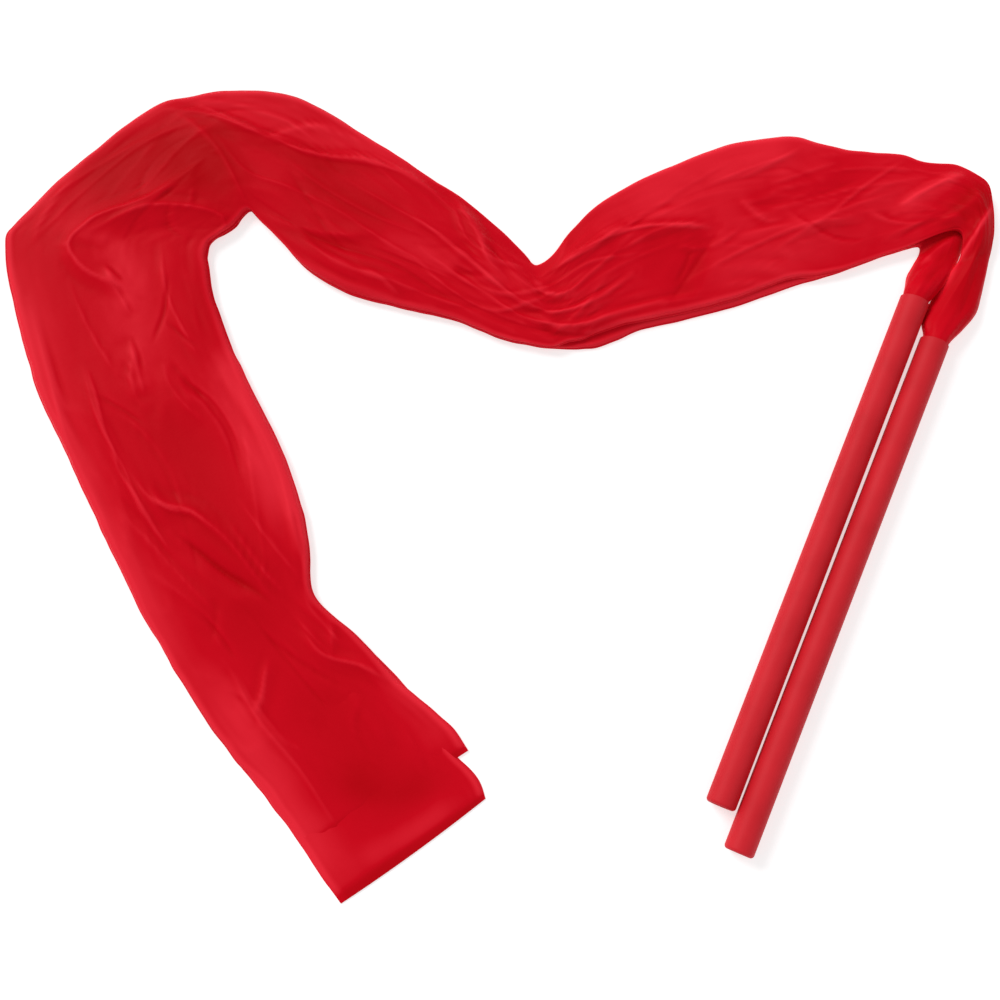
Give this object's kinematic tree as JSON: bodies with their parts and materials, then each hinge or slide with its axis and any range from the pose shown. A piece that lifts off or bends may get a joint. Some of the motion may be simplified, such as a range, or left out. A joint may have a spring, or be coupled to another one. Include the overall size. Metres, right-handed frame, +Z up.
{
  "type": "rhythmic ribbon wand pair",
  "caption": "Rhythmic ribbon wands lying flat side by side, red silk ribbons laid together in a zigzag and gathered into the mouths of red sleeve-covered sticks.",
  "frame": {"origin": "centre of the pair's bounding box, on the surface it lies on", "axes": "+X across the layout towards the sticks, +Y towards the ribbons' folds, +Z up"},
  "size_m": [0.6548, 0.5308, 0.019],
  "materials": {
    "ribbon_cloth": "thin silk with a soft sheen, slightly see-through",
    "grip": "matte, soft touch",
    "core": "plain",
    "plug": "moulded",
    "thread": "twisted thread"
  },
  "bodies": {
    "left_ribbon": {"left_ribbon": "ribbon_cloth"},
    "left_neck": {"left_ribbon_neck": "ribbon_cloth"},
    "left_stick": {"left_ribbon_tail": "ribbon_cloth", "left_binding_thread": "thread", "left_core_tube": "core", "left_tip_plug": "plug", "left_butt_plug": "plug", "left_grip_sleeve": "grip"},
    "right_ribbon": {"right_ribbon": "ribbon_cloth"},
    "right_neck": {"right_ribbon_neck": "ribbon_cloth"},
    "right_stick": {"right_ribbon_tail": "ribbon_cloth", "right_binding_thread": "thread", "right_core_tube": "core", "right_tip_plug": "plug", "right_butt_plug": "plug", "right_grip_sleeve": "grip"}
  },
  "joints": [
    {"name": "left_swing", "type": "hinge", "parent": "left_ribbon", "child": "left_neck", "pos_m": [0.28474, 0.14921, 0.002], "axis": [0, 0, 1], "range_deg": [-35, 0]},
    {"name": "left_lift", "type": "hinge", "parent": "left_neck", "child": "left_stick", "pos_m": [0.27128, 0.11734, 0.0095], "axis": [-0.9212, 0.3891, 0], "range_deg": [0, 60]},
    {"name": "right_pick_up", "type": "slide", "parent": "left_ribbon", "child": "right_ribbon", "axis": [0, 0, 1], "range_m": [0, 0.12]},
    {"name": "right_swing", "type": "hinge", "parent": "right_ribbon", "child": "right_neck", "pos_m": [0.31595, 0.15951, 0.0063], "axis": [0, 0, 1], "range_deg": [0, 40]},
    {"name": "right_lift", "type": "hinge", "parent": "right_neck", "child": "right_stick", "pos_m": [0.28258, 0.08894, 0.0095], "axis": [-0.9198, 0.3923, 0], "range_deg": [0, 60]}
  ]
}
